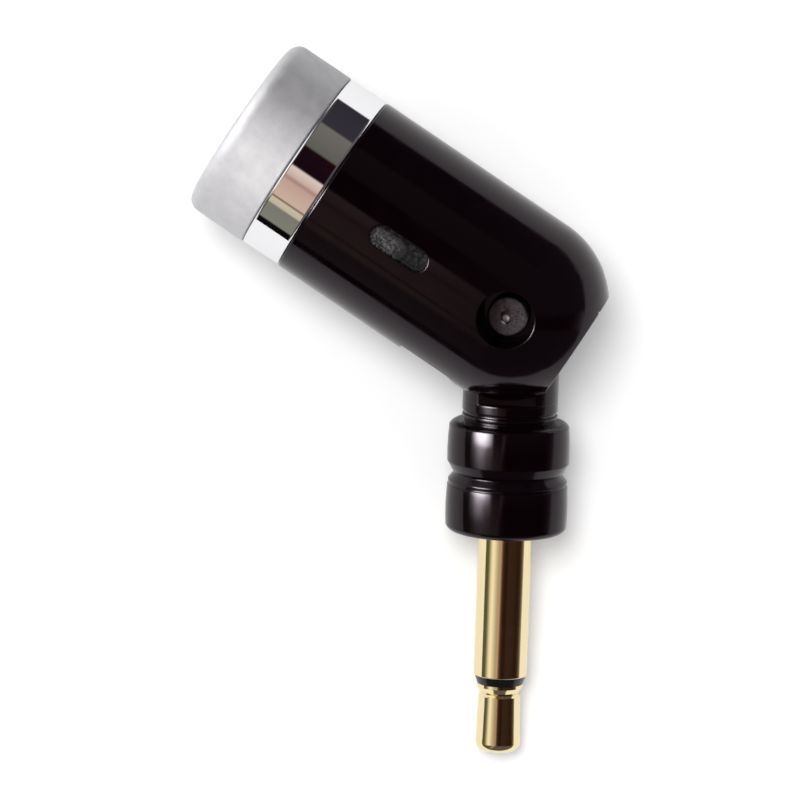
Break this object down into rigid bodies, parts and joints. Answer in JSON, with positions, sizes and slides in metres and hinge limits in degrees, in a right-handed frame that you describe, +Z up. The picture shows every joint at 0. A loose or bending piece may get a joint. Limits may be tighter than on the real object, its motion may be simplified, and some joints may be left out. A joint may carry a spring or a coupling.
{
  "type": "plug-in microphone with swivelling head",
  "caption": "Small cylindrical microphone with a grille, trim ring and rear sound port, hinged to a collar with a gold-plated 3.5 mm two-pole plug.",
  "frame": {"origin": "centre of the bounding box's base: the surface that the microphone lies on, under the middle of its length and width", "axes": "+X along the head's axis, from the grille to the hinge; the plug leaves the hinge towards +X and -Y; +Z up from the surface"},
  "size_m": [0.038, 0.0314, 0.0126],
  "materials": {
    "black_gloss": "glossy moulded black plastic",
    "polished_ring": "mirror-polished plating",
    "satin_cap": "satin anodised, pale silver",
    "grille_steel": "perforated sheet, satin",
    "foam_grey": "open-cell foam",
    "boot_rubber": "moulded rubber",
    "can_aluminium": "drawn aluminium",
    "felt_grey": "grey felt",
    "capsule_brass": "turned brass",
    "film_gold": "metallised film",
    "spacer_amber": "amber film",
    "capsule_white": "white nylon",
    "board_green": "green solder resist",
    "fet_black": "moulded black epoxy",
    "screw_steel": "dark-plated steel",
    "washer_nylon": "natural nylon",
    "gold_plate": "gold plating on turned brass",
    "insulator_black": "moulded black plastic",
    "terminal_tin": "tinned brass",
    "lead_red": "red insulation",
    "lead_black": "black insulation"
  },
  "bodies": {
    "plug_stem": {"stem": "black_gloss", "washer_top": "washer_nylon", "washer_bottom": "washer_nylon", "collar": "black_gloss", "plug_sleeve": "gold_plate", "plug_insulator": "insulator_black", "plug_tip": "gold_plate", "rear_insulator": "washer_nylon", "tip_terminal": "terminal_tin", "sleeve_terminal": "terminal_tin", "signal_lead": "lead_red", "ground_lead": "lead_black"},
    "head": {"head_housing": "black_gloss", "trim_ring": "polished_ring", "front_cap": "satin_cap", "front_grille": "grille_steel", "wind_foam": "foam_grey", "capsule_boot": "boot_rubber", "capsule_can": "can_aluminium", "capsule_felt": "felt_grey", "diaphragm_ring": "capsule_brass", "diaphragm": "film_gold", "diaphragm_spacer": "spacer_amber", "backplate": "capsule_brass", "chamber_ring": "capsule_white", "capsule_board": "board_green", "fet": "fet_black", "port_felt_top": "felt_grey", "port_felt_bottom": "felt_grey", "pivot_screw": "screw_steel", "pivot_insert": "capsule_brass"}
  },
  "joints": [
    {"name": "head_tilt", "type": "hinge", "parent": "plug_stem", "child": "head", "pos_m": [0.00253, 0.0094, 0.0063], "axis": [0, -0.1974, 0.9803], "range_deg": [-58.3, 31.7], "deforming": ["signal_lead", "ground_lead"]}
  ]
}
